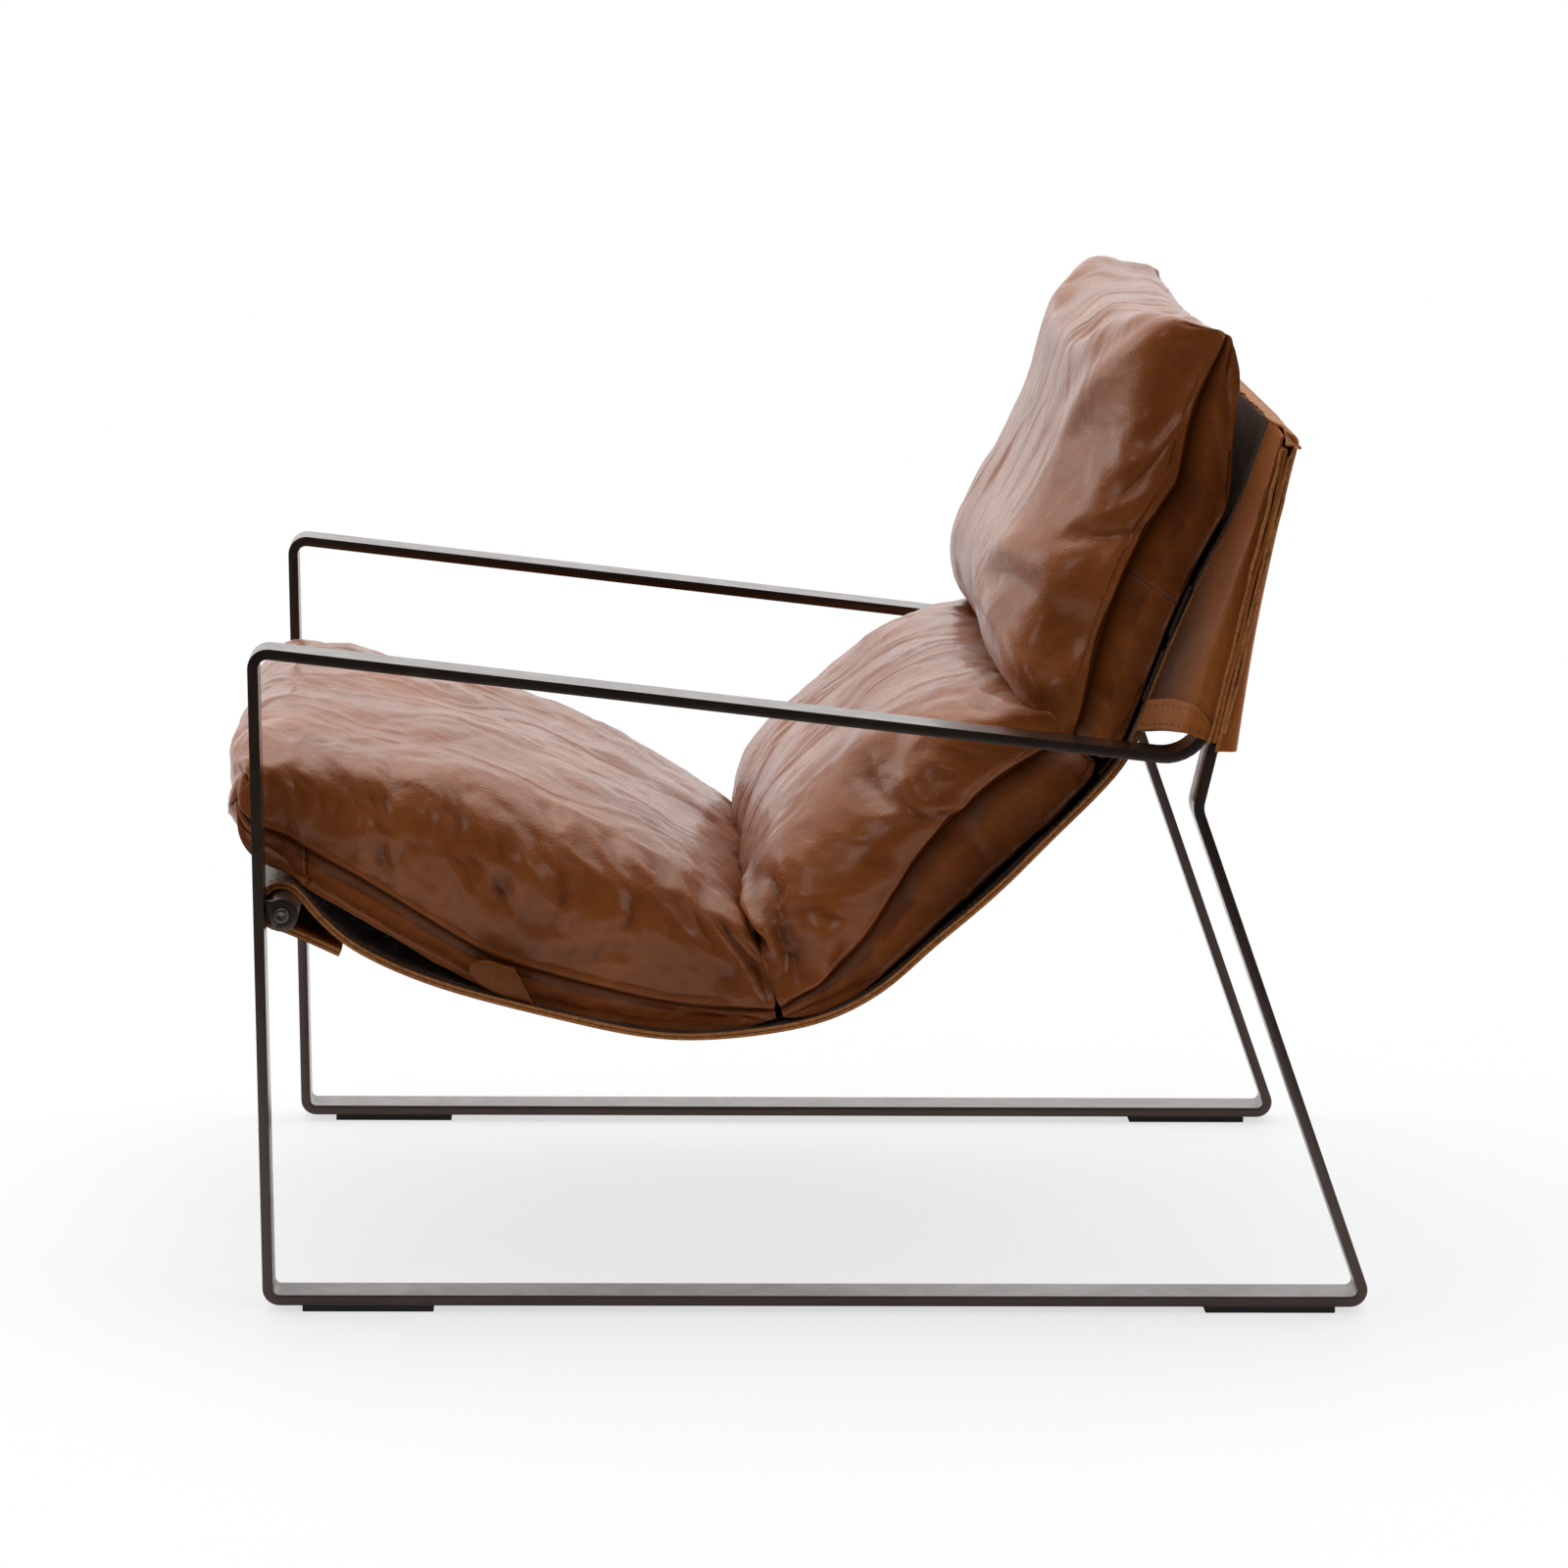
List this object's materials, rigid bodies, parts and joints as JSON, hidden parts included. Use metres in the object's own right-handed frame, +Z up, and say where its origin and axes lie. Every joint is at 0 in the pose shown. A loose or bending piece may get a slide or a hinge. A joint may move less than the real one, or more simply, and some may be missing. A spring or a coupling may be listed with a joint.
{
  "type": "sling lounge chair",
  "caption": "Low lounge chair: a leather sling hung between bent flat-steel side loops and wrapped round a front rod, with joined loose leather cushions.",
  "frame": {"origin": "on the floor, under the middle of the chair's overall length and width", "axes": "+X towards the back of the chair, +Y towards the sitter's right, +Z up"},
  "size_m": [0.88, 0.6978, 0.7664],
  "materials": {
    "bronze_steel": "dark bronze, satin",
    "fixing_steel": "dark plated steel, satin",
    "floor_pad": "matt black",
    "sling_leather": "dark brown saddle leather, satin, with raw orange-brown cut edges",
    "pocket_leather": "tobacco brown leather, satin, with raw cut edges",
    "cushion_leather": "glossy tobacco brown waxed leather cover over a soft fill"
  },
  "bodies": {
    "chair_frame": {"side_loop_left": "bronze_steel", "side_loop_right": "bronze_steel", "front_pad_left": "floor_pad", "front_pad_right": "floor_pad", "rear_pad_left": "floor_pad", "rear_pad_right": "floor_pad", "back_rail": "bronze_steel", "front_rod": "bronze_steel", "rod_plug_left": "fixing_steel", "rod_plug_right": "fixing_steel", "rod_lug_left": "bronze_steel", "rod_lug_right": "bronze_steel", "rod_bolt_left": "fixing_steel", "rod_bolt_right": "fixing_steel", "sling_upper": "sling_leather", "sling_under": "sling_leather", "pocket_gusset_left": "pocket_leather", "pocket_gusset_right": "pocket_leather", "back_panel": "pocket_leather", "arch_patch_left": "pocket_leather", "arch_patch_right": "pocket_leather", "seat_tab_left": "pocket_leather", "seat_tab_right": "pocket_leather", "back_tab_lower_left": "pocket_leather", "back_tab_lower_right": "pocket_leather", "back_tab_upper_left": "pocket_leather", "back_tab_upper_right": "pocket_leather"},
    "cushion_set": {"seat_cushion": "cushion_leather", "lumbar_cushion": "cushion_leather", "head_cushion": "cushion_leather", "seat_lumbar_join": "cushion_leather", "lumbar_head_join": "cushion_leather"}
  },
  "joints": [
    {"name": "cushion_lift", "type": "slide", "parent": "chair_frame", "child": "cushion_set", "axis": [-0.5, 0, 0.866], "range_m": [0, 0.4]}
  ]
}
